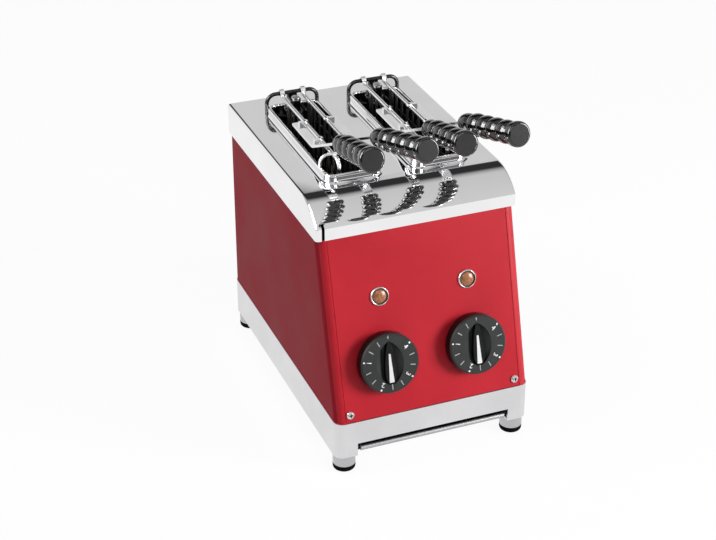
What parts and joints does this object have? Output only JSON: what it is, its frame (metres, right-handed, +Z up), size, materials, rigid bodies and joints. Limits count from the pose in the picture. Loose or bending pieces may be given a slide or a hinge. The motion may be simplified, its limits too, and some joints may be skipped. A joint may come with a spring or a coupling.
{
  "type": "sandwich tong toaster",
  "caption": "Upright counter toaster with leaning control panel, timer dials, pilot lamps, polished slotted top, lift-out wire tongs with beaded grips, and a pull-out crumb tray.",
  "frame": {"origin": "middle of the footprint on the surface that the feet stand on", "axes": "+X to the right seen from the front, +Y to the back, +Z up"},
  "size_m": [0.2016, 0.336, 0.3432],
  "materials": {
    "satin_steel": "satin, fine blasted",
    "sheet_steel": "plain rolled sheet and wire",
    "rubber": "matte black",
    "zinc": "zinc plated",
    "red_shell": "satin red powder coat",
    "red_panel": "satin metallic red",
    "polished_steel": "mirror polished",
    "quartz": "frosted quartz",
    "ceramic": "unglazed",
    "brass": "plain",
    "dark_moulding": "moulded",
    "amber_lens": "clear tinted, glossy",
    "knob_plastic": "fine grained charcoal",
    "white_inlay": "smooth",
    "chromed_wire": "bright chrome",
    "spring_steel": "heat-darkened drawn wire",
    "black_bakelite": "glossy moulded black"
  },
  "bodies": {
    "chassis": {"base_frame": "satin_steel", "foot_cups": "satin_steel", "base_deck": "sheet_steel", "bulkhead_front": "sheet_steel", "bulkhead_rear": "sheet_steel", "reflector_left": "sheet_steel", "reflector_center": "sheet_steel", "reflector_right": "sheet_steel", "tray_runners": "sheet_steel", "tong_rests": "sheet_steel", "guard_left_outer": "sheet_steel", "guard_left_inner": "sheet_steel", "guard_right_inner": "sheet_steel", "guard_right_outer": "sheet_steel", "foot_pads": "rubber", "foot_screws": "zinc", "case_screws": "zinc", "body_shell": "red_shell", "front_panel": "red_panel", "top_cover": "polished_steel", "slot_collar_left": "polished_steel", "slot_collar_right": "polished_steel", "lamp_bezels": "polished_steel", "heater_left_outer": "quartz", "heater_left_inner": "quartz", "heater_right_inner": "quartz", "heater_right_outer": "quartz", "heater_bushes": "ceramic", "terminal_block": "ceramic", "heater_links": "brass", "timer_nuts": "brass", "timer_left": "dark_moulding", "timer_right": "dark_moulding", "lamp_bodies": "dark_moulding", "cable_gland": "dark_moulding", "gland_nut": "dark_moulding", "lamp_lenses": "amber_lens"},
    "left_timer": {"knob_left": "knob_plastic", "knob_inlay_left": "white_inlay", "timer_shaft_left": "zinc"},
    "right_timer": {"knob_right": "knob_plastic", "knob_inlay_right": "white_inlay", "timer_shaft_right": "zinc"},
    "tray": {"crumb_tray": "sheet_steel"},
    "left_tong": {"left_tong_hanger": "spring_steel", "left_tong_spring": "spring_steel"},
    "left_tong_jaw_l": {"left_tong_grid_l": "chromed_wire", "left_tong_arm_l": "chromed_wire", "left_tong_handle_l": "black_bakelite"},
    "left_tong_jaw_r": {"left_tong_grid_r": "chromed_wire", "left_tong_arm_r": "chromed_wire", "left_tong_handle_r": "black_bakelite"},
    "right_tong": {"right_tong_hanger": "spring_steel", "right_tong_spring": "spring_steel"},
    "right_tong_jaw_l": {"right_tong_grid_l": "chromed_wire", "right_tong_arm_l": "chromed_wire", "right_tong_handle_l": "black_bakelite"},
    "right_tong_jaw_r": {"right_tong_grid_r": "chromed_wire", "right_tong_arm_r": "chromed_wire", "right_tong_handle_r": "black_bakelite"}
  },
  "joints": [
    {"name": "left_timer_turn", "type": "hinge", "parent": "chassis", "child": "left_timer", "pos_m": [-0.045, -0.13748, 0.10801], "axis": [0, 0.9632, -0.2688], "range_deg": [0, 308]},
    {"name": "right_timer_turn", "type": "hinge", "parent": "chassis", "child": "right_timer", "pos_m": [0.045, -0.13748, 0.10801], "axis": [0, 0.9632, -0.2688], "range_deg": [0, 308]},
    {"name": "tray_pull", "type": "slide", "parent": "chassis", "child": "tray", "axis": [0, -1, 0], "range_m": [0, 0.295]},
    {"name": "left_tong_lift", "type": "slide", "parent": "chassis", "child": "left_tong", "axis": [0, 0, 1], "range_m": [0, 0.19]},
    {"name": "left_tong_close_l", "type": "hinge", "parent": "left_tong", "child": "left_tong_jaw_l", "pos_m": [-0.044, 0.104, 0.257], "axis": [0, 0, 1], "range_deg": [0, 2], "stiffness_Nm_per_rad": 1.5, "springref_deg": -1.15},
    {"name": "left_tong_close_r", "type": "hinge", "parent": "left_tong", "child": "left_tong_jaw_r", "pos_m": [-0.044, 0.104, 0.257], "axis": [0, 0, 1], "range_deg": [-2, 0], "stiffness_Nm_per_rad": 1.5, "springref_deg": 1.15},
    {"name": "right_tong_lift", "type": "slide", "parent": "chassis", "child": "right_tong", "axis": [0, 0, 1], "range_m": [0, 0.19]},
    {"name": "right_tong_close_l", "type": "hinge", "parent": "right_tong", "child": "right_tong_jaw_l", "pos_m": [0.044, 0.104, 0.257], "axis": [0, 0, 1], "range_deg": [0, 2], "stiffness_Nm_per_rad": 1.5, "springref_deg": -1.15},
    {"name": "right_tong_close_r", "type": "hinge", "parent": "right_tong", "child": "right_tong_jaw_r", "pos_m": [0.044, 0.104, 0.257], "axis": [0, 0, 1], "range_deg": [-2, 0], "stiffness_Nm_per_rad": 1.5, "springref_deg": 1.15}
  ],
  "couplings": [
    {"joint": "left_tong_close_r", "follows": "left_tong_close_l", "ratio": -1},
    {"joint": "right_tong_close_r", "follows": "right_tong_close_l", "ratio": -1}
  ]
}
